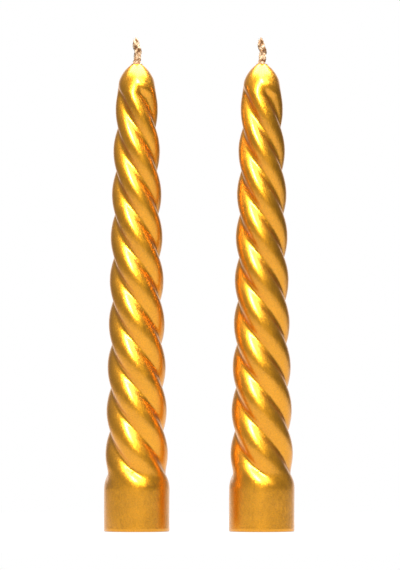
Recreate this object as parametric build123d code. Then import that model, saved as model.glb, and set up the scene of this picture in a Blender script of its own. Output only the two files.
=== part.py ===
from build123d import *
import math
import os

# A pair of twisted taper candles that stand upright, side by side.
# Origin: on the table, midway between the candles. X: left to right, Z: up.

# The pair, from axis to axis
candle_spacing = 42.0

# Foot, the plain round end that fits a candlestick
foot_diameter = 22.0
foot_height = 14.0
foot_edge_chamfer = 0.3

# Twisted body, measured over the crests of its ridges, in three lengths from the foot up
ridge_count = 4
twist_lead = 58.2
crest_front_height = 70.2
taper_low_radius = 10.76
taper_length = 93.0
taper_high_radius = 8.5
draw_length = 40.0
shoulder_radius = 6.85
shoulder_length = 5.5

# Grooves between the ridges, deeper for their size towards the head
groove_low_share = 0.42
groove_high_share = 0.54
valley_round_share = 0.32
foot_runout_height = 8.0
foot_blend_height = 6.0
head_runout_height = 7.0
plain_gap_angle = 10.0
sections_per_turn = 28
section_crowding_share = 0.7

# Head, a smooth dome up to the wick
head_base_radius = 5.45
dome_height = 4.5
head_tip_radius = 1.6

# Wick, cast in from the underside. Its free end is straight, leans out and comes back.
wick_diameter = 2.3
wick_clearance = 0.05
wick_straight_length = 1.2
wick_bow_length = 2.8
wick_bow = 0.75
wick_return_length = 5.05
wick_tip_shift = -0.44
wick_bend_radius = 5.0
wick_tip_chamfer = 0.5

# Overrun of a cutting tool past the faces that it goes through
cut_overrun = 1.0

foot_radius = foot_diameter / 2
taper_height = foot_height + taper_length
shoulder_height = taper_height + draw_length
head_base_height = shoulder_height + shoulder_length
wax_height = head_base_height + dome_height
wick_radius = wick_diameter / 2
half_ridge_angle = math.pi / ridge_count


def ease(share):
    """Smooth step from 0 to 1, held at both ends."""
    held = min(1, max(0, share))
    return held * held * (3 - 2 * held)


def crest_line():
    """Line of the ridge crests, as radius and height, from the foot up to the head."""
    taper = Line((taper_low_radius, foot_height), (taper_high_radius, taper_height))
    draw = TangentArc(taper @ 1, (shoulder_radius, shoulder_height), tangent=taper % 1)
    shoulder = TangentArc(draw @ 1, (head_base_radius, head_base_height), tangent=draw % 1)
    return Wire([taper, draw, shoulder])


def groove_fade(height):
    """How far the grooves are cut: 0 at the foot and at the head, 1 along the body."""
    above_foot = ease((height - foot_height) / foot_runout_height)
    below_head = ease((head_base_height - height) / head_runout_height)
    return above_foot * below_head


def twist_angle(height):
    """Direction of the first ridge, turning left-handed as it climbs."""
    return -2 * math.pi * (height - crest_front_height) / twist_lead


def ridged_section(crest_radius, height):
    """Closed outline of the twisted body at one height.

    Every ridge is an arc round a centre that stands off the axis. A smaller arc,
    tangent to both neighbours, rounds the valley between two ridges. As the grooves
    fade, the centres move in to the axis and all the arcs fall on one circle.
    """
    fade = groove_fade(height)
    rise = (height - foot_height) / (head_base_height - foot_height)
    blend = ease((height - foot_height) / foot_blend_height)
    radius = foot_radius + (crest_radius - foot_radius) * blend
    groove_share = groove_low_share + (groove_high_share - groove_low_share) * rise
    offset = radius * groove_share * fade
    ridge_radius = radius - offset
    valley_radius = radius * valley_round_share
    full_turn = math.asin(offset * math.sin(half_ridge_angle) / (ridge_radius + valley_radius))
    valley_turn = full_turn - math.radians(plain_gap_angle) * (1 - fade)

    # End of a ridge arc, along and beside the diagonal of the valley next to it
    reach = half_ridge_angle + valley_turn
    end_x = offset + ridge_radius * math.cos(reach)
    end_y = ridge_radius * math.sin(reach)
    along = end_x * math.cos(half_ridge_angle) + end_y * math.sin(half_ridge_angle)
    beside = end_x * math.sin(half_ridge_angle) - end_y * math.cos(half_ridge_angle)
    valley_floor = along - beside * math.tan(valley_turn / 2)

    def turned(x, y, angle):
        return (x * math.cos(angle) - y * math.sin(angle), x * math.sin(angle) + y * math.cos(angle), height)

    arcs = []
    for ridge in range(ridge_count):
        angle = twist_angle(height) + 2 * half_ridge_angle * ridge
        start = turned(end_x, -end_y, angle)
        crest = turned(radius, 0, angle)
        end = turned(end_x, end_y, angle)
        valley = turned(valley_floor, 0, angle + half_ridge_angle)
        next_start = turned(end_x, -end_y, angle + 2 * half_ridge_angle)
        arcs.append(ThreePointArc(start, crest, end))
        arcs.append(ThreePointArc(end, valley, next_start))
    return Wire(arcs)


def twisted_body():
    """Loft of the ridged outline from the top of the foot to the base of the head.

    The outlines stand closer together near both ends, where the grooves run out.
    """
    crest = crest_line()
    turns = (head_base_height - foot_height) / twist_lead
    step_count = math.ceil(turns * sections_per_turn)
    sections = []
    for step in range(step_count + 1):
        cycle = 2 * math.pi * step / step_count
        crest_share = (cycle - section_crowding_share * math.sin(cycle)) / (2 * math.pi)
        spot = crest.position_at(crest.length * crest_share, position_mode=PositionMode.LENGTH)
        sections.append(ridged_section(spot.X, spot.Y))
    return Solid.make_loft(sections)


def foot():
    """Plain round end, with its lower edge slightly broken."""
    outline = Polyline((0, 0), (foot_radius, 0), (foot_radius, foot_height), (0, foot_height), close=True)
    blank = revolve(Plane.XZ * make_face(outline), Axis.Z)
    return chamfer(blank.edges().sort_by(Axis.Z)[0], foot_edge_chamfer)


def head():
    """Smooth dome over the twisted body, carrying on the line of the crests."""
    crest = crest_line()
    dome = TangentArc(crest @ 1, (head_tip_radius, wax_height), tangent=crest % 1)
    closing = Polyline(dome @ 1, (0, wax_height), (0, head_base_height), dome @ 0)
    return revolve(Plane.XZ * make_face([dome, closing]), Axis.Z)


def wax():
    """Cast wax of one candle, with the channel that its wick fills."""
    channel_radius = wick_radius + wick_clearance
    channel_height = wax_height + 2 * cut_overrun
    channel = Pos(0, 0, -cut_overrun) * Cylinder(
        channel_radius, channel_height, align=(Align.CENTER, Align.CENTER, Align.MIN)
    )
    return foot() + twisted_body() + head() - channel


def wick():
    """Cotton wick: straight in the wax, then bent to the right and back to the left."""
    straight_top = wax_height + wick_straight_length
    bow_top = straight_top + wick_bow_length
    line = FilletPolyline(
        (0, 0, 0),
        (0, 0, straight_top),
        (wick_bow, 0, bow_top),
        (wick_tip_shift, 0, bow_top + wick_return_length),
        radius=wick_bend_radius,
    )
    blank = sweep(Plane.XY * Circle(wick_radius), path=line)
    return chamfer(blank.edges().sort_by(Axis.Z)[-1], wick_tip_chamfer)


def main():
    os.makedirs("parts", exist_ok=True)
    wax_piece = wax()
    wick_piece = wick()
    for side, place in (("left", -1), ("right", 1)):
        spot = Pos(place * candle_spacing / 2, 0, 0)
        export_step(spot * wax_piece, f"parts/{side}_wax_body.step")
        export_step(spot * wick_piece, f"parts/{side}_wick.step")


if __name__ == "__main__":
    main()
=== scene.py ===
"""Casts a pair of twisted tapers, dips them in gold, plaits their wicks and lights the table."""

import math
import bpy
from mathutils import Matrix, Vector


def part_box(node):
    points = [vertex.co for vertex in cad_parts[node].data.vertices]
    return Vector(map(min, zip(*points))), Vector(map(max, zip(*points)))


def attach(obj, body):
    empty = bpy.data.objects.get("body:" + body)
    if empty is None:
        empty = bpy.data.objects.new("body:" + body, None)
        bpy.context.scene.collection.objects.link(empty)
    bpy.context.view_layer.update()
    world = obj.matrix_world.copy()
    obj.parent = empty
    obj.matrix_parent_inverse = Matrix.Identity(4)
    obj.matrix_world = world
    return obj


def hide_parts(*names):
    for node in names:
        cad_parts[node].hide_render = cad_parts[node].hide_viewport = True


bl_info = {
    "name": "Twisted Taper Candles",
    "version": (1, 0, 0),
    "blender": (4, 5, 0),
    "location": "3D View > Sidebar > Candles",
    "description": "Makes a pair of gold-lacquered twisted taper candles with plaited cotton wicks",
    "category": "Add Mesh",
}

import bmesh
import bpy
from bpy.props import FloatProperty, FloatVectorProperty, IntProperty, PointerProperty
from bpy.types import Operator, Panel, PropertyGroup
from mathutils import Matrix, Vector, noise
from mathutils.bvhtree import BVHTree

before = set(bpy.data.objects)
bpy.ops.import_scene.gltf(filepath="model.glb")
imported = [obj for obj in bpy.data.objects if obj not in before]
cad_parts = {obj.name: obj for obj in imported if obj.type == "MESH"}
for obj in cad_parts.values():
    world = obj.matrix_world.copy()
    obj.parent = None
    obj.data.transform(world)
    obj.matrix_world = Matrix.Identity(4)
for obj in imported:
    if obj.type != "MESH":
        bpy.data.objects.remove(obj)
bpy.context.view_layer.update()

SIDES = ("left", "right")
BODY = "root"
MM = 0.001
STRANDS = 3

# Beads of lacquer on the front of each candle: place across, height and radius
LACQUER_BEADS = ((-1.38 * MM, 20.0 * MM, 0.42 * MM),)

# How far the tip of each strand stays below the tip of the longest one
STRAND_SHORTFALLS = (0.0, 0.7 * MM, 0.35 * MM)

# Loose fibres: direction round the wick, share of the free end, and length in millimetres
LOOSE_FIBRES = (
    (0.4, 0.25, 0.9), (2.6, 0.38, 0.7), (3.5, 0.55, 1.0), (5.6, 0.62, 0.8), (1.2, 0.74, 0.9),
    (4.4, 0.83, 0.7), (2.1, 0.90, 0.6), (0.1, 0.93, 0.6), (3.9, 0.95, 0.5),
)

# Middle of the candles, where every lamp points
LAMP_AIM = (0, 0, 0.085)
WHITE = (1, 1, 1, 1)


def cad_foot_radius():
    """Radius of the foot, from the width of its solid."""
    low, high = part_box("left_wax_body")
    return (high[0] - low[0]) / 2


def cad_wax_height():
    """Top of the wax above the table."""
    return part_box("left_wax_body")[1][2]


def cad_wick_height():
    """Top of the wick above the table."""
    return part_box("left_wick")[1][2]


def candle_axis(side):
    """Place of a candle's axis on the table."""
    low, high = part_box(f"{side}_wax_body")
    return Vector(((low[0] + high[0]) / 2, (low[1] + high[1]) / 2, 0))


class WaxCasting(PropertyGroup):
    """Sizes of the cast wax, foot to head."""

    foot_radius: FloatProperty(
        name="Foot Radius", description="Plain round foot that stands in the candlestick",
        default=cad_foot_radius(), min=0.005, unit="LENGTH", precision=5)
    foot_height: FloatProperty(
        name="Foot Height", description="Height at which the twist begins",
        default=0.014, min=0.002, unit="LENGTH", precision=5)
    foot_chamfer: FloatProperty(
        name="Foot Chamfer", description="Broken edge round the underside",
        default=0.0003, min=0.0, unit="LENGTH", precision=5)
    ridge_count: IntProperty(
        name="Ridges", description="Ridges round the candle", default=4, min=2, max=8)
    twist_lead: FloatProperty(
        name="Twist Lead", description="Height in which a ridge goes once round",
        default=0.0582, min=0.01, unit="LENGTH", precision=5)
    crest_front_height: FloatProperty(
        name="Crest Height", description="Height at which the first ridge points along X",
        default=0.0702, unit="LENGTH", precision=5)
    taper_low_radius: FloatProperty(
        name="Taper Low Radius", description="Radius over the crests at the top of the foot",
        default=0.01076, min=0.002, unit="LENGTH", precision=5)
    taper_high_radius: FloatProperty(
        name="Taper High Radius",
        description="Radius over the crests where the straight taper ends",
        default=0.0085, min=0.002, unit="LENGTH", precision=5)
    taper_length: FloatProperty(
        name="Taper Length", description="Height of the straight taper",
        default=0.093, min=0.01, unit="LENGTH", precision=5)
    shoulder_radius: FloatProperty(
        name="Shoulder Radius", description="Radius over the crests at the shoulder",
        default=0.00685, min=0.002, unit="LENGTH", precision=5)
    draw_length: FloatProperty(
        name="Draw Length", description="Height in which the body draws in to the shoulder",
        default=0.040, min=0.005, unit="LENGTH", precision=5)
    head_radius: FloatProperty(
        name="Head Radius", description="Radius where the dome begins",
        default=0.00545, min=0.002, unit="LENGTH", precision=5)
    shoulder_length: FloatProperty(
        name="Shoulder Length", description="Height from the shoulder to the dome",
        default=0.0055, min=0.001, unit="LENGTH", precision=5)
    tip_radius: FloatProperty(
        name="Tip Radius", description="Radius of the dome at the wick",
        default=0.0016, min=0.001, unit="LENGTH", precision=5)
    wax_height: FloatProperty(
        name="Wax Height", description="Top of the dome above the table",
        default=cad_wax_height(), min=0.05, unit="LENGTH", precision=5)
    groove_low_share: FloatProperty(
        name="Low Groove",
        description="Depth of the grooves near the foot, as a share of the radius",
        default=0.42, min=0.0, max=0.8, subtype="FACTOR")
    groove_high_share: FloatProperty(
        name="High Groove",
        description="Depth of the grooves near the head, as a share of the radius",
        default=0.54, min=0.0, max=0.8, subtype="FACTOR")
    valley_share: FloatProperty(
        name="Valley Rounding",
        description="Radius of the valleys, as a share of the candle's radius",
        default=0.32, min=0.02, max=0.4, subtype="FACTOR")
    foot_runout: FloatProperty(
        name="Foot Run-out", description="Height in which the grooves fade into the foot",
        default=0.008, min=0.001, unit="LENGTH", precision=5)
    foot_blend: FloatProperty(
        name="Foot Blend", description="Height in which the foot draws in to the taper",
        default=0.006, min=0.001, unit="LENGTH", precision=5)
    head_runout: FloatProperty(
        name="Head Run-out", description="Height in which the grooves fade into the head",
        default=0.007, min=0.001, unit="LENGTH", precision=5)
    channel_radius: FloatProperty(
        name="Channel Radius", description="Channel that the wick fills",
        default=0.0012, min=0.0005, unit="LENGTH", precision=5)
    hand_wobble: FloatProperty(
        name="Hand Wobble", description="Unevenness left by the dipping",
        default=0.00007, min=0.0, unit="LENGTH", precision=6)
    ring_step: FloatProperty(
        name="Ring Step", description="Distance between the rings of the mesh",
        default=0.00042, min=0.0001, unit="LENGTH", precision=5)


class WickPlait(PropertyGroup):
    """Sizes of the plaited cotton."""

    core_radius: FloatProperty(
        name="Core Radius", description="Radius of the wick inside the wax",
        default=0.00114, min=0.0005, unit="LENGTH", precision=5)
    strand_radius: FloatProperty(
        name="Strand Radius", description="Radius of one of the three strands",
        default=0.00066, min=0.0001, unit="LENGTH", precision=5)
    plait_width: FloatProperty(
        name="Plait Sway", description="How far a strand swings to each side",
        default=0.00070, min=0.0001, unit="LENGTH", precision=5)
    plait_depth: FloatProperty(
        name="Plait Depth", description="How far a strand swings to the front and the back",
        default=0.00040, min=0.0001, unit="LENGTH", precision=5)
    plait_length: FloatProperty(
        name="Plait Length", description="Length in which a strand swings to both sides and back",
        default=0.0086, min=0.001, unit="LENGTH", precision=5)
    lean_out: FloatProperty(
        name="Lean Out", description="How far the free end leans to the right",
        default=0.00046, unit="LENGTH", precision=5)
    lean_back: FloatProperty(
        name="Lean Back", description="How far the tip comes back to the left",
        default=0.00094, unit="LENGTH", precision=5)
    top: FloatProperty(
        name="Wick Top", description="Height of the wick's tip above the table",
        default=cad_wick_height() - 0.0002, min=0.05, unit="LENGTH", precision=5)


class GoldFinish(PropertyGroup):
    """Colours of the lacquer and the cotton."""

    lacquer: FloatVectorProperty(
        name="Lacquer", description="Gold of the lacquer", subtype="COLOR", size=3,
        default=(0.82, 0.35, 0.009), min=0.0, max=1.0)
    edge_tint: FloatVectorProperty(
        name="Edge Tint", description="Tint of the lacquer where it is seen at a slant",
        subtype="COLOR", size=3, default=(1.0, 0.95, 0.90), min=0.0, max=1.0)
    lacquer_roughness: FloatProperty(
        name="Lacquer Roughness", description="How soft the lacquer's reflections are",
        default=0.35, min=0.02, max=1.0, subtype="FACTOR")
    gloss_weight: FloatProperty(
        name="Gloss Weight", description="How much of the clear gloss lies over the flakes",
        default=0.8, min=0.0, max=1.0, subtype="FACTOR")
    gloss_roughness: FloatProperty(
        name="Gloss Roughness", description="How soft the clear gloss is",
        default=0.26, min=0.02, max=1.0, subtype="FACTOR")
    cotton: FloatVectorProperty(
        name="Cotton", description="Gilded cotton of the wick", subtype="COLOR", size=3,
        default=(0.30, 0.14, 0.045), min=0.0, max=1.0)
    bare_cotton: FloatVectorProperty(
        name="Bare Cotton", description="Cotton that the gold missed", subtype="COLOR", size=3,
        default=(0.62, 0.46, 0.29), min=0.0, max=1.0)


class TableLight(PropertyGroup):
    """The table, its lamps and the camera. A level of 1 reads as white."""

    camera_distance: FloatProperty(
        name="Camera Distance", description="Distance of the camera from the candles",
        default=4.0, min=0.5, unit="LENGTH")
    camera_height: FloatProperty(
        name="Camera Height", description="Height of the level camera",
        default=0.0828, unit="LENGTH", precision=4)
    camera_side: FloatProperty(
        name="Camera Side", description="How far the camera stands to the right",
        default=0.00027, unit="LENGTH", precision=5)
    view_height: FloatProperty(
        name="View Height", description="Height that fills the picture at the candles",
        default=0.1915, min=0.01, unit="LENGTH", precision=4)
    table: FloatVectorProperty(
        name="Table", description="Colour of the table", subtype="COLOR", size=3,
        default=(0.12, 0.12, 0.12), min=0.0, max=1.0)
    table_glow: FloatProperty(
        name="Table Glow",
        description="How much lighter the table reads, to the camera and in the gold",
        default=0.80, min=0.0, max=1.0)
    table_radius: FloatProperty(
        name="Table Radius", description="Radius of the round table top",
        default=0.32, min=0.1, unit="LENGTH")
    key_level: FloatProperty(
        name="Key Level", description="Brightness of the key softbox", default=50.0, min=0.0)
    key_place: FloatVectorProperty(
        name="Key Place", description="Middle of the key softbox",
        subtype="XYZ", unit="LENGTH", size=3, default=(0.0, -0.37, 0.35))
    key_size: FloatVectorProperty(
        name="Key Size", description="Width and height of the key softbox",
        unit="LENGTH", size=2, default=(0.095, 0.18), min=0.01)
    side_level: FloatProperty(
        name="Side Level", description="Brightness of the softbox up on the right",
        default=6.0, min=0.0)
    side_place: FloatVectorProperty(
        name="Side Place", description="Middle of the softbox up on the right",
        subtype="XYZ", unit="LENGTH", size=3, default=(0.24, -0.32, 0.46))
    side_size: FloatVectorProperty(
        name="Side Size", description="Width and height of the softbox up on the right",
        unit="LENGTH", size=2, default=(0.20, 0.16), min=0.01)
    top_level: FloatProperty(
        name="Top Level", description="Brightness of the softbox overhead",
        default=9.5, min=0.0)
    top_place: FloatVectorProperty(
        name="Top Place", description="Middle of the softbox overhead",
        subtype="XYZ", unit="LENGTH", size=3, default=(0.02, 0.02, 0.48))
    top_size: FloatVectorProperty(
        name="Top Size", description="Width and depth of the softbox overhead",
        unit="LENGTH", size=2, default=(0.45, 0.45), min=0.01)
    room_level: FloatProperty(
        name="Room Level", description="Brightness of the darkest part of the room",
        default=0.16, min=0.0)
    left_level: FloatProperty(
        name="Left Level", description="Brightness that the room gains to the left",
        default=0.16, min=0.0)
    front_level: FloatProperty(
        name="Front Level", description="Brightness that the room gains in front",
        default=0.06, min=0.0)
    high_level: FloatProperty(
        name="High Level", description="Brightness that the room gains towards its ceiling",
        default=0.3, min=0.0)
    backdrop_edge: FloatProperty(
        name="Backdrop Edge", description="How narrow the white backdrop is as the gold mirrors it",
        default=0.80, min=0.0, max=1.0, subtype="FACTOR")


def ease(share):
    """Smooth step from 0 to 1, held at both ends."""
    held = min(1.0, max(0.0, share))
    return held * held * (3 - 2 * held)


def tangent_arc(start, heading, end, steps):
    """Spots on the arc that leaves start along heading and reaches end, with the heading there."""
    start, end, heading = Vector(start), Vector(end), Vector(heading).normalized()
    across = Vector((-heading.y, heading.x))
    chord = end - start
    bend = 2 * chord.dot(across) / chord.length_squared
    turn = 2 * math.asin(bend * chord.length / 2)
    spots = []
    for step in range(1, steps + 1):
        part = turn * step / steps
        ahead, aside = math.sin(part) / bend, (1 - math.cos(part)) / bend
        spots.append(start + heading * ahead + across * aside)
    return spots, Matrix.Rotation(turn, 2) @ heading


def crest_stations(casting):
    """Radius over the crests and height of every ring of the mould: the body's, then the dome's.

    The rings stand twice as close from the shoulder on, where the grooves run out.
    """
    step, dome_steps = casting.ring_step, 24
    foot_top = Vector((casting.taper_low_radius, casting.foot_height))
    taper_top = Vector((casting.taper_high_radius, casting.foot_height + casting.taper_length))
    shoulder = Vector((casting.shoulder_radius, taper_top.y + casting.draw_length))
    head = Vector((casting.head_radius, shoulder.y + casting.shoulder_length))
    tip = Vector((casting.tip_radius, casting.wax_height))
    taper_steps = round(casting.taper_length / step)
    draw_steps = round(casting.draw_length / step)
    neck_steps = 2 * round(casting.shoulder_length / step)
    taper = [foot_top.lerp(taper_top, ring / taper_steps) for ring in range(taper_steps + 1)]
    draw, heading = tangent_arc(taper_top, taper_top - foot_top, shoulder, draw_steps)
    neck, heading = tangent_arc(shoulder, heading, head, neck_steps)
    dome = tangent_arc(head, heading, tip, dome_steps)[0]
    return taper + draw + neck, dome


def ring_spots(casting, crest_radius, height):
    """Spots round the outline of the twisted body at one height.

    Every ridge is an arc about a centre off the axis, and a small arc rounds each valley.
    As the grooves fade, the centres move in to the axis until the outline is a circle.
    """
    ridge_steps, valley_steps = 22, 6
    plain_gap_angle, least_turn = math.radians(10), 0.0001
    head_height = (
        casting.foot_height + casting.taper_length + casting.draw_length + casting.shoulder_length)
    above_foot = height - casting.foot_height
    half = math.pi / casting.ridge_count
    fade = ease(above_foot / casting.foot_runout)
    fade *= ease((head_height - height) / casting.head_runout)
    rise = min(1.0, max(0.0, above_foot / (head_height - casting.foot_height)))
    groove_gain = casting.groove_high_share - casting.groove_low_share
    groove = casting.groove_low_share + groove_gain * rise
    blend = ease(above_foot / casting.foot_blend)
    radius = casting.foot_radius + (crest_radius - casting.foot_radius) * blend
    offset = radius * groove * fade
    ridge_radius = radius - offset
    valley_radius = radius * casting.valley_share
    full_turn = math.asin(offset * math.sin(half) / (ridge_radius + valley_radius))
    valley_turn = full_turn - plain_gap_angle * (1 - fade)
    if abs(valley_turn) < least_turn:
        valley_turn = least_turn

    # End of a ridge arc, along and beside the diagonal of the valley next to it
    reach = half + valley_turn
    end = Vector((offset + ridge_radius * math.cos(reach), ridge_radius * math.sin(reach)))
    end.rotate(Matrix.Rotation(-half, 2))
    along, beside = end.x, -end.y

    first = -2 * math.pi * (height - casting.crest_front_height) / casting.twist_lead
    spots = []
    for ridge in range(casting.ridge_count):
        turn = Matrix.Rotation(first + 2 * half * ridge, 2)
        for step in range(ridge_steps):
            angle = reach * (2 * step / ridge_steps - 1)
            outward = offset + ridge_radius * math.cos(angle)
            spots.append(turn @ Vector((outward, ridge_radius * math.sin(angle))))
        turn = Matrix.Rotation(first + 2 * half * (ridge + 0.5), 2)
        for step in range(valley_steps):
            angle = valley_turn * (2 * step / valley_steps - 1)
            sag = math.cos(angle) - math.cos(valley_turn)
            outward = along - beside * sag / math.sin(valley_turn)
            sideways = beside * math.sin(angle) / math.sin(valley_turn)
            spots.append(turn @ Vector((outward, sideways)))
    return spots


def circle_spots(like, radius):
    """Spots on a circle, each in the direction of its fellow on another ring."""
    return [spot.normalized() * radius for spot in like]


def wobble(casting, place):
    """Unevenness of the dipped surface at one place, from slow and quick waves."""
    slow_scale, quick_scale, quick_share = 95, 330, 0.3
    slow = noise.noise(place * slow_scale)
    quick = noise.noise(place * quick_scale + Vector((7, 3, 5)))
    return casting.hand_wobble * (slow + quick_share * quick)


def start_ring(bm, sides, radius=1.0):
    """Adds a closed ring and numbers its vertices. Gives them, the edges and the number layer."""
    number = bm.verts.layers.int.get("number") or bm.verts.layers.int.new("number")
    verts = bmesh.ops.create_circle(bm, segments=sides, radius=radius)["verts"]
    for index, vert in enumerate(verts):
        vert[number] = index
    edges = list(dict.fromkeys(edge for vert in verts for edge in vert.link_edges))
    return verts, edges, number


def grow_ring(bm, edges):
    """Extrudes a ring of edges. Gives the vertices and the edges of the new ring."""
    grown = bmesh.ops.extrude_edge_only(bm, edges=edges)["geom"]
    verts = [item for item in grown if isinstance(item, bmesh.types.BMVert)]
    return verts, [item for item in grown if isinstance(item, bmesh.types.BMEdge)]


def cap_tube(bm, *rings):
    """Closes the open ends of a tube."""
    for ring in rings:
        bmesh.ops.edgeloop_fill(bm, edges=ring)


def set_ring(verts, number, spots, height):
    """Sets the vertices of a ring at their spots."""
    for vert in verts:
        spot = spots[vert[number]]
        vert.co = (spot.x, spot.y, height)


def raise_ring(bm, edges, number, spots, height):
    """Extrudes the ring of edges and sets the new ring at its spots."""
    verts, edges = grow_ring(bm, edges)
    set_ring(verts, number, spots, height)
    return edges


def finish_mesh(name, bm, material, axis):
    """Turns a bmesh into a named piece that stands on its axis, with its place in its mesh."""
    bmesh.ops.translate(bm, verts=bm.verts, vec=axis)
    bmesh.ops.recalc_face_normals(bm, faces=bm.faces)
    for face in bm.faces:
        face.smooth = True
    mesh = bpy.data.meshes.new(name)
    bm.to_mesh(mesh)
    bm.free()
    mesh.materials.append(material)
    piece = bpy.data.objects.new(name, mesh)
    bpy.context.scene.collection.objects.link(piece)
    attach(piece, BODY)
    return piece


def cast_wax(casting):
    """Mesh of one wax body on the origin: foot, twisted body, dome and wick channel."""
    foot_steps, calm_height = 16, 2 * MM
    # Rounded lip of the channel: shares of its width and of its drop
    lip_shares = ((0.7, 0.05), (0.35, 0.3), (0.0, 1.0))
    channel_shares = (0.97, 0.9, 0.7, 0.4, 0.1, 0.0)

    body, dome = crest_stations(casting)
    bm = bmesh.new()
    like = ring_spots(casting, casting.foot_radius, 0.0)
    verts, edges, number = start_ring(bm, len(like))
    sole_ring = edges
    set_ring(verts, number, circle_spots(like, casting.foot_radius - casting.foot_chamfer), 0.0)
    plain_height = casting.foot_height - casting.foot_chamfer
    for step in range(foot_steps):
        height = casting.foot_chamfer + plain_height * step / foot_steps
        spots = ring_spots(casting, casting.foot_radius, height)
        edges = raise_ring(bm, edges, number, spots, height)
    for crest in body:
        spots = ring_spots(casting, crest.x, crest.y)
        edges = raise_ring(bm, edges, number, spots, crest.y)
    for crest in dome:
        spots = circle_spots(ring_spots(casting, crest.x, crest.y), crest.x)
        edges = raise_ring(bm, edges, number, spots, crest.y)

    for vert in bm.verts:
        if vert.co.z > casting.foot_chamfer * 2:
            out = Vector((vert.co.x, vert.co.y, 0))
            calm = ease((casting.wax_height - vert.co.z) / calm_height)
            vert.co += out.normalized() * (wobble(casting, vert.co) * calm)

    lip = casting.tip_radius - casting.channel_radius
    for width_share, drop_share in lip_shares:
        ring = circle_spots(spots, casting.channel_radius + width_share * lip)
        edges = raise_ring(bm, edges, number, ring, casting.wax_height - drop_share * lip)
    channel = circle_spots(spots, casting.channel_radius)
    for share in channel_shares:
        edges = raise_ring(bm, edges, number, channel, casting.wax_height * share)
    bmesh.ops.bridge_loops(bm, edges=edges + sole_ring)
    return bm


def add_beads(bm, places):
    """Sets small flattened beads of lacquer on the front of the wax, each half sunk in it."""
    in_front, flatness = 0.05, 0.6
    skin = BVHTree.FromBMesh(bm)
    for across, height, radius in places:
        start = Vector((across, -in_front, height))
        spot, normal = skin.ray_cast(start, Vector((0, 1, 0)))[:2]
        bead = bmesh.ops.create_icosphere(bm, subdivisions=3, radius=radius)["verts"]
        bmesh.ops.scale(bm, verts=bead, vec=(1, 1, flatness))
        bmesh.ops.rotate(bm, verts=bead, matrix=normal.to_track_quat("Z", "Y").to_matrix())
        bmesh.ops.translate(bm, verts=bead, vec=spot)


def wick_middle(plait, height):
    """Middle of the wick's free end at one height: it leans out and comes back."""
    out_from, out_length = 8.6 * MM, 3.6 * MM
    back_from, back_length = 5.8 * MM, 5.4 * MM
    below_top = plait.top - height
    out = ease((out_from - below_top) / out_length)
    back = ease((back_from - below_top) / back_length)
    return Vector((plait.lean_out * out - plait.lean_back * back, 0, height))


def plait_strand(bm, plait, strand, foot, top):
    """Sweeps one strand of the plait: a bundle of twisted yarns that swings over and under."""
    sides, yarns, ring_step, look_ahead = 30, 5, 0.11 * MM, 0.05 * MM
    first_swing, yarn_lead, yarn_shift = 0.9, 3.3 * MM, 1.3
    # The plait is drawn together where it leaves the wax, and again towards its tip
    foot_share, foot_gain, foot_from, foot_over = 0.78, 0.22, 0.6 * MM, 1.6 * MM
    tip_loss, tip_from, tip_over = 0.40, 3.4 * MM, 3.2 * MM
    # Each strand thins towards the tip of the wick, and has a rounded end
    thin_loss, thin_from, thin_over = 0.25, 3.0 * MM, 2.6 * MM
    end_share, end_gain, end_over = 0.35, 0.65, 0.9 * MM
    # Section of a strand, as shares of its radius: its yarns stand out, with grain on them
    hollow_share, yarn_gain, yarn_power, grain_gain = 0.80, 0.22, 0.7, 0.05
    grain_length, grain_shift, grain_scale = 0.35 * MM, 9, 1.7

    def middle(height):
        swing = 2 * math.pi * (height / plait.plait_length + strand / STRANDS) + first_swing
        gather = ease((height - foot - foot_from) / foot_over) * foot_gain + foot_share
        gather -= tip_loss * ease((height - plait.top + tip_from) / tip_over)
        across = plait.plait_width * math.sin(swing) * gather
        ahead = plait.plait_depth * math.sin(2 * swing) * gather
        return wick_middle(plait, height) + Vector((across, ahead, 0))

    verts, edges, number = start_ring(bm, sides)
    first = edges
    steps = round((top - foot) / ring_step)
    for step in range(steps + 1):
        height = foot + (top - foot) * step / steps
        if step:
            verts, edges = grow_ring(bm, edges)
        place = middle(height)
        heading = (middle(height + look_ahead) - middle(height - look_ahead)).normalized()
        side = heading.cross(Vector((0, 1, 0))).normalized()
        front = side.cross(heading)
        thin = ease((height - plait.top + thin_from) / thin_over)
        radius = plait.strand_radius * (1 - thin_loss * thin)
        radius *= end_share + end_gain * math.sqrt(ease((top - height) / end_over))
        twist = 2 * math.pi * height / yarn_lead + strand * yarn_shift
        for vert in verts:
            angle = 2 * math.pi * vert[number] / sides
            yarn = abs(math.cos(yarns * (angle + twist) / 2))
            along = height / grain_length + strand * grain_shift
            grain = noise.noise(Vector((math.cos(angle), math.sin(angle), along)) * grain_scale)
            reach = radius * (hollow_share + yarn_gain * yarn ** yarn_power + grain_gain * grain)
            vert.co = place + side * (reach * math.cos(angle)) + front * (reach * math.sin(angle))
    cap_tube(bm, first, edges)


def loose_fibre(bm, start, heading, length, bend):
    """One thin fibre that has come loose from the cotton."""
    sides, radius, steps = 4, 0.022 * MM, 6
    ring, edges, _ = start_ring(bm, sides, radius)
    first = edges
    bmesh.ops.rotate(bm, verts=ring, matrix=heading.to_track_quat("Z", "Y").to_matrix())
    bmesh.ops.translate(bm, verts=ring, vec=start)
    for step in range(1, steps + 1):
        verts, edges = grow_ring(bm, edges)
        heading = (heading + bend * (step / steps)).normalized()
        bmesh.ops.translate(bm, verts=verts, vec=heading * (length / steps))
    cap_tube(bm, first, edges)


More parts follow.
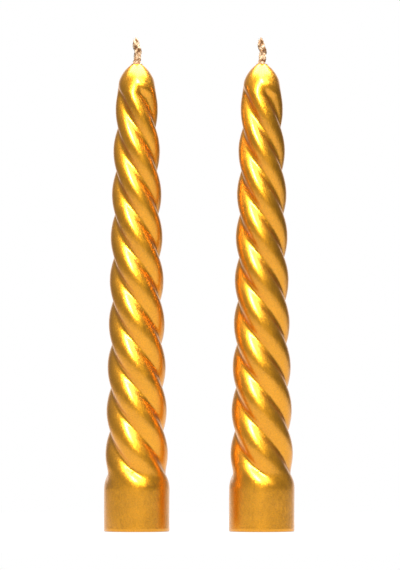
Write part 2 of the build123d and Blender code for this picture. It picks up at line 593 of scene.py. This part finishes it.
def wick_core(bm, plait, casting):
    """The wick inside the wax: its strands pressed into one cord, cut off level below."""
    sides, steps, twist_lead = 48, 60, 40 * MM
    below_top, hollow_share, strand_gain = 0.4 * MM, 0.90, 0.10
    verts, edges, number = start_ring(bm, sides)
    first = edges
    for step in range(steps + 1):
        height = (casting.wax_height - below_top) * step / steps
        if step:
            verts, edges = grow_ring(bm, edges)
        twist = 2 * math.pi * height / twist_lead
        for vert in verts:
            angle = 2 * math.pi * vert[number] / sides
            bulge = abs(math.cos(STRANDS / 2 * (angle + twist)))
            reach = plait.core_radius * (hollow_share + strand_gain * bulge)
            vert.co = (reach * math.cos(angle), reach * math.sin(angle), height)
    cap_tube(bm, first, edges)


def plait_wick(casting, plait):
    """Mesh of one wick on the origin: core, plaited free end and a few loose fibres."""
    overlap, tip_gap = 1.2 * MM, 0.06 * MM
    fibre_start, fibre_room, fibre_rise, fibre_climb, fibre_bend = 0.75 * MM, 0.8, 0.8, 0.1, 0.3
    bm = bmesh.new()
    wick_core(bm, plait, casting)
    foot = casting.wax_height - overlap
    for strand, shortfall in enumerate(STRAND_SHORTFALLS):
        plait_strand(bm, plait, strand, foot, plait.top - tip_gap - shortfall)
    for turn, share, length in LOOSE_FIBRES:
        height = casting.wax_height + (plait.top - casting.wax_height) * share
        out = Vector((math.cos(turn), math.sin(turn), 0))
        start = wick_middle(plait, height) + out * fibre_start
        heading = (out + Vector((0, 0, fibre_rise))).normalized()
        length = min(length * MM, (plait.top - height) * fibre_room)
        bend = Vector((-out.y, out.x, fibre_climb)) * fibre_bend
        loose_fibre(bm, start, heading, length, bend)
    return bm


def lift_collar(casting):
    """Mesh of the torn skin of lacquer that stands off the dome round the wick."""
    sides, rings, thickness = 72, 7, 0.05 * MM
    inner_radius, outer_radius, ragged, tear_scale = 1.20 * MM, 1.62 * MM, 0.22 * MM, 2.3
    # The skin reaches out in a flap on each side: its length, lift and width as an angle
    right_reach, right_lift, right_angle = 0.55 * MM, 0.34, 0.42
    left_reach, left_lift, left_angle = 0.30 * MM, 0.22, 0.5
    stand_off, rim_lift, lift_power = 0.05 * MM, 0.05, 1.5
    dome = crest_stations(casting)[1]

    def dome_height(radius):
        for low, high in zip(dome, dome[1:]):
            if low.x >= radius >= high.x:
                share = (low.x - radius) / (low.x - high.x)
                return low.y + (high.y - low.y) * share
        return casting.wax_height

    bm = bmesh.new()
    verts, edges, number = start_ring(bm, sides)
    for ring in range(rings):
        share = ring / (rings - 1)
        if ring:
            verts, edges = grow_ring(bm, edges)
        for vert in verts:
            angle = 2 * math.pi * vert[number] / sides
            way = Vector((math.cos(angle), math.sin(angle), 0))
            torn = noise.noise(way * tear_scale + Vector((4, 1, 2)))
            off_right = angle if angle < math.pi else angle - 2 * math.pi
            right = math.exp(-(off_right / right_angle) ** 2)
            left = math.exp(-((angle - math.pi) / left_angle) ** 2)
            reach = outer_radius + ragged * torn + right_reach * right + left_reach * left
            radius = inner_radius + (reach - inner_radius) * share
            curl = (right_lift * right + left_lift * left + rim_lift) * MM * share ** lift_power
            vert.co = way * radius + Vector((0, 0, dome_height(radius) + (stand_off + curl)))
    bmesh.ops.recalc_face_normals(bm, faces=bm.faces)
    bmesh.ops.solidify(bm, geom=bm.faces[:], thickness=thickness)
    return bm


def add(tree, kind, inputs=None, **settings):
    """Adds a node. An input is linked where a socket is given for it, and set where a value is."""
    node = tree.nodes.new(kind)
    for key, value in settings.items():
        setattr(node, key, value)
    for key, value in (inputs or {}).items():
        if isinstance(value, bpy.types.NodeSocket):
            tree.links.new(value, node.inputs[key])
        else:
            node.inputs[key].default_value = value
    return node


def cloud(tree, place, scale, detail):
    """Cloudy pattern from 0 to 1, finer as its scale grows."""
    inputs = {"Vector": place, "Scale": scale, "Detail": detail}
    return add(tree, "ShaderNodeTexNoise", inputs).outputs["Fac"]


def spread(tree, value, low, high, new_low=0.0, new_high=1.0):
    """Spreads a value from one range over another, held at both ends."""
    return add(tree, "ShaderNodeMapRange", {
        "Value": value, "From Min": low, "From Max": high, "To Min": new_low, "To Max": new_high,
    }).outputs["Result"]


def reckon(tree, operation, *values):
    """Result of a sum with numbers."""
    return add(tree, "ShaderNodeMath", dict(enumerate(values)), operation=operation).outputs[0]


def reckon_way(tree, operation, inputs):
    """Result of a sum with directions."""
    return add(tree, "ShaderNodeVectorMath", inputs, operation=operation).outputs[0]


def mix_tones(tree, share, low, high):
    """Colour that goes from low to high with the share."""
    tone = add(tree, "ShaderNodeMix", data_type="RGBA")
    factor, first, second, mixed = tone.inputs[0], tone.inputs[6], tone.inputs[7], tone.outputs[2]
    tree.links.new(share, factor)
    first.default_value, second.default_value = low, high
    return mixed


def new_material(name):
    """Empty node material with its output, and the place that its patterns follow."""
    material = bpy.data.materials.new(name)
    material.use_nodes = True
    tree = material.node_tree
    tree.nodes.clear()
    output = tree.nodes.new("ShaderNodeOutputMaterial")
    return material, tree, output, add(tree, "ShaderNodeTexCoord").outputs["Object"]


def shade(colour, factor):
    """A colour made lighter or darker, as a node colour."""
    return tuple(min(1.0, part * factor) for part in colour) + (1.0,)


def gold_lacquer(finish):
    """Gold lacquer over wax: fine metal flakes under a thin gloss, a little uneven from dipping."""
    material, tree, output, place = new_material("gold lacquer")
    speck = cloud(tree, place, 2400.0, 1.0)
    mottle = reckon(tree, "MULTIPLY_ADD", speck, 2.0, cloud(tree, place, 90.0, 3.0))
    dark, light = shade(finish.lacquer, 0.87), shade(finish.lacquer, 1.11)
    tone = mix_tones(tree, spread(tree, mottle, 1.0, 2.0), dark, light)

    # Every flake tilts the surface its own way
    flake = add(tree, "ShaderNodeTexVoronoi", {"Vector": place, "Scale": 4200.0}).outputs["Color"]
    tilt = reckon_way(tree, "SUBTRACT", {0: flake, 1: (0.5, 0.5, 0.5)})
    tilt = reckon_way(tree, "SCALE", {0: tilt, "Scale": 0.16})
    facing = add(tree, "ShaderNodeNewGeometry").outputs["Normal"]
    facing = reckon_way(tree, "ADD", {0: facing, 1: tilt})
    facing = reckon_way(tree, "NORMALIZE", {0: facing})
    skin = add(tree, "ShaderNodeBump", {
        "Strength": 1.0, "Distance": 0.000015, "Height": cloud(tree, place, 620.0, 2.0),
        "Normal": facing})

    softest, hardest = finish.lacquer_roughness + 0.05, finish.lacquer_roughness - 0.03
    rough = spread(tree, cloud(tree, place, 260.0, 2.0), 0.3, 0.7, hardest, softest)
    gold = add(tree, "ShaderNodeBsdfPrincipled", {
        "Base Color": tone, "Metallic": 1.0, "Roughness": rough,
        "Specular Tint": finish.edge_tint[:] + (1.0,), "Coat Weight": finish.gloss_weight,
        "Coat Roughness": finish.gloss_roughness, "Coat IOR": 1.5,
        "Normal": skin.outputs["Normal"]})
    tree.links.new(gold.outputs["BSDF"], output.inputs["Surface"])
    return material


def gilded_cotton(finish):
    """Cotton yarn with a thin, patchy dusting of the gold lacquer."""
    material, tree, output, place = new_material("gilded cotton")
    patch = cloud(tree, place, 900.0, 4.0)
    gilt, bare = shade(finish.cotton, 0.75), shade(finish.bare_cotton, 1.0)
    tone = mix_tones(tree, spread(tree, patch, 0.54, 0.38), gilt, bare)
    skin = add(tree, "ShaderNodeBump", {
        "Strength": 1.0, "Distance": 0.00004, "Height": cloud(tree, place, 7000.0, 3.0)})
    cotton = add(tree, "ShaderNodeBsdfPrincipled", {
        "Base Color": tone, "Metallic": spread(tree, patch, 0.45, 0.6, 0.0, 0.6),
        "Roughness": 0.55, "Sheen Weight": 0.25, "Sheen Roughness": 0.5,
        "Normal": skin.outputs["Normal"]})
    tree.links.new(cotton.outputs["BSDF"], output.inputs["Surface"])
    return material


def table_white(studio):
    """White table. It glows to the camera and in the gold, a little less near the candles.

    The lamps light the rest of its white, so the candles' shadow stays on it.
    """
    near, near_share = 0.03, 0.92
    material, tree, output, place = new_material("white table")
    dark, light = shade(studio.table, 0.99), shade(studio.table, 1.01)
    tone = mix_tones(tree, cloud(tree, place, 9.0, 2.0), dark, light)
    matt = add(tree, "ShaderNodeBsdfDiffuse", {"Color": tone})
    ray = add(tree, "ShaderNodeLightPath").outputs
    seen = reckon(tree, "MAXIMUM", ray["Is Camera Ray"], ray["Is Glossy Ray"])
    seen = reckon(tree, "MAXIMUM", seen, ray["Is Transmission Ray"])
    reach = add(tree, "ShaderNodeVectorMath", {0: place}, operation="LENGTH").outputs["Value"]
    fade = spread(
        tree, reach, near, studio.table_radius, studio.table_glow * near_share, studio.table_glow)
    lift = reckon(tree, "MULTIPLY", seen, fade)
    glow = add(tree, "ShaderNodeEmission", {"Color": WHITE, "Strength": lift})
    both = add(tree, "ShaderNodeAddShader", {0: matt.outputs[0], 1: glow.outputs[0]})
    tree.links.new(both.outputs[0], output.inputs["Surface"])
    return material


def softbox(name, place, size, level):
    """A soft lamp that points at the candles and reads as bright as its level, where 1 is white."""
    width, height = size
    lamp = bpy.data.lights.new(name, "AREA")
    lamp.shape, lamp.size, lamp.size_y = "RECTANGLE", width, height
    lamp.energy = level * math.pi * width * height
    holder = bpy.data.objects.new(name, lamp)
    holder.location = place
    aim = Vector(LAMP_AIM) - Vector(place)
    holder.rotation_euler = aim.to_track_quat("-Z", "Y").to_euler()
    holder.visible_camera = False
    bpy.context.scene.collection.objects.link(holder)


def light_room(studio):
    """The room's own light, brighter to the left, in front and above, with the backdrop behind."""
    backdrop_blur = 0.03
    world = bpy.data.worlds.new("white room")
    bpy.context.scene.world = world
    world.use_nodes = True
    tree = world.node_tree
    tree.nodes.clear()
    output = tree.nodes.new("ShaderNodeOutputWorld")
    around = add(tree, "ShaderNodeTexCoord").outputs["Generated"]
    way = add(tree, "ShaderNodeSeparateXYZ", {0: around}).outputs
    level = studio.room_level
    for axis, low, high, gain in (
        ("X", 0.0, -1.0, studio.left_level),
        ("Y", 0.0, -1.0, studio.front_level),
        ("Z", 0.30, 0.80, studio.high_level),
    ):
        level = reckon(tree, "ADD", level, spread(tree, way[axis], low, high, 0.0, gain))

    # White to the camera all round, and white in the gold only straight behind the candles
    narrow, wide = studio.backdrop_edge + backdrop_blur, studio.backdrop_edge - backdrop_blur
    behind = spread(tree, way["Y"], wide, narrow)
    ray = add(tree, "ShaderNodeLightPath").outputs
    shown = reckon(tree, "MAXIMUM", ray["Is Glossy Ray"], ray["Is Transmission Ray"])
    shown = reckon(tree, "MULTIPLY", shown, behind)
    shown = reckon(tree, "MAXIMUM", shown, ray["Is Camera Ray"])
    strength = spread(tree, shown, 0.0, 1.0, level, 1.0)
    light = add(tree, "ShaderNodeBackground", {"Color": WHITE, "Strength": strength})
    tree.links.new(light.outputs[0], output.inputs["Surface"])


def set_camera(studio):
    """Long lens, level, straight in front of the candles."""
    lens = bpy.data.cameras.new("camera")
    lens.sensor_fit, lens.sensor_width = "AUTO", 36.0
    lens.lens = lens.sensor_width * studio.camera_distance / studio.view_height
    lens.clip_start, lens.clip_end = 0.1, 50.0
    camera = bpy.data.objects.new("camera", lens)
    camera.location = (studio.camera_side, -studio.camera_distance, studio.camera_height)
    camera.rotation_euler = (math.radians(90), 0, 0)
    bpy.context.scene.collection.objects.link(camera)
    bpy.context.scene.camera = camera


def lay_top(studio):
    """Round table top, a hair below the feet of the candles."""
    sides, hair = 96, 0.02 * MM
    bm = bmesh.new()
    bmesh.ops.create_circle(bm, cap_ends=True, segments=sides, radius=studio.table_radius)
    mesh = bpy.data.meshes.new("table_top")
    bm.to_mesh(mesh)
    bm.free()
    mesh.transform(Matrix.Translation((0, 0, -hair)))
    mesh.materials.append(table_white(studio))
    table = bpy.data.objects.new("table_top", mesh)
    bpy.context.scene.collection.objects.link(table)


class CANDLES_OT_lay_table(Operator):
    """Lay the white table, hang the soft lamps and set the camera"""

    bl_idname = "candles.lay_table"
    bl_label = "Lay and Light Table"
    bl_options = {"REGISTER", "UNDO"}

    def execute(self, context):
        studio = context.scene.candle_studio
        context.scene.view_settings.view_transform = "Standard"
        lay_top(studio)
        light_room(studio)
        softbox("key softbox", studio.key_place, studio.key_size, studio.key_level)
        softbox("side softbox", studio.side_place, studio.side_size, studio.side_level)
        softbox("overhead softbox", studio.top_place, studio.top_size, studio.top_level)
        set_camera(studio)
        return {"FINISHED"}


class CANDLES_OT_cast_wax(Operator):
    """Cast both wax bodies in place of the plain solids"""

    bl_idname = "candles.cast_wax"
    bl_label = "Cast Wax Bodies"
    bl_options = {"REGISTER", "UNDO"}

    def execute(self, context):
        lacquer = gold_lacquer(context.scene.candle_finish)
        wax = cast_wax(context.scene.candle_casting)
        add_beads(wax, LACQUER_BEADS)
        for side in SIDES:
            piece = finish_mesh(f"{side}_wax_casting", wax.copy(), lacquer, candle_axis(side))
            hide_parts(f"{side}_wax_body")
        wax.free()
        return {"FINISHED"}


class CANDLES_OT_plait_wicks(Operator):
    """Plait both cotton wicks in place of the plain solids"""

    bl_idname = "candles.plait_wicks"
    bl_label = "Plait Wicks"
    bl_options = {"REGISTER", "UNDO"}

    def execute(self, context):
        cotton = gilded_cotton(context.scene.candle_finish)
        plait = plait_wick(context.scene.candle_casting, context.scene.candle_plait)
        for side in SIDES:
            piece = finish_mesh(f"{side}_wick_plait", plait.copy(), cotton, candle_axis(side))
            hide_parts(f"{side}_wick")
        plait.free()
        return {"FINISHED"}


class CANDLES_OT_lift_collars(Operator):
    """Lift the torn skin of lacquer round the foot of each wick"""

    bl_idname = "candles.lift_collars"
    bl_label = "Lift Lacquer Collars"
    bl_options = {"REGISTER", "UNDO"}

    def execute(self, context):
        lacquer = bpy.data.materials["gold lacquer"]
        collar = lift_collar(context.scene.candle_casting)
        for side in SIDES:
            piece = finish_mesh(f"{side}_lacquer_collar", collar.copy(), lacquer, candle_axis(side))
        collar.free()
        return {"FINISHED"}


class CANDLES_PT_workshop(Panel):
    """Steps and sizes of the pair of candles"""

    bl_label = "Twisted Tapers"
    bl_idname = "CANDLES_PT_workshop"
    bl_space_type = "VIEW_3D"
    bl_region_type = "UI"
    bl_category = "Candles"

    def draw(self, context):
        scene, layout = context.scene, self.layout
        for operator in OPERATORS:
            layout.operator(operator.bl_idname)
        for title, group in (
            ("Wax", scene.candle_casting), ("Wick", scene.candle_plait),
            ("Finish", scene.candle_finish), ("Table", scene.candle_studio),
        ):
            box = layout.box()
            box.label(text=title)
            for key in group.__annotations__:
                box.prop(group, key)


GROUPS = (
    ("candle_casting", WaxCasting), ("candle_plait", WickPlait),
    ("candle_finish", GoldFinish), ("candle_studio", TableLight),
)
OPERATORS = (
    CANDLES_OT_lay_table, CANDLES_OT_cast_wax, CANDLES_OT_plait_wicks, CANDLES_OT_lift_collars,
)


def register():
    for name, group in GROUPS:
        bpy.utils.register_class(group)
        setattr(bpy.types.Scene, name, PointerProperty(type=group))
    for item in OPERATORS + (CANDLES_PT_workshop,):
        bpy.utils.register_class(item)


def unregister():
    for item in reversed(OPERATORS + (CANDLES_PT_workshop,)):
        bpy.utils.unregister_class(item)
    for name, group in reversed(GROUPS):
        delattr(bpy.types.Scene, name)
        bpy.utils.unregister_class(group)


def main():
    register()
    bpy.ops.candles.lay_table()
    bpy.ops.candles.cast_wax()
    bpy.ops.candles.plait_wicks()
    bpy.ops.candles.lift_collars()
    bpy.context.view_layer.update()


if __name__ == "__main__":
    main()
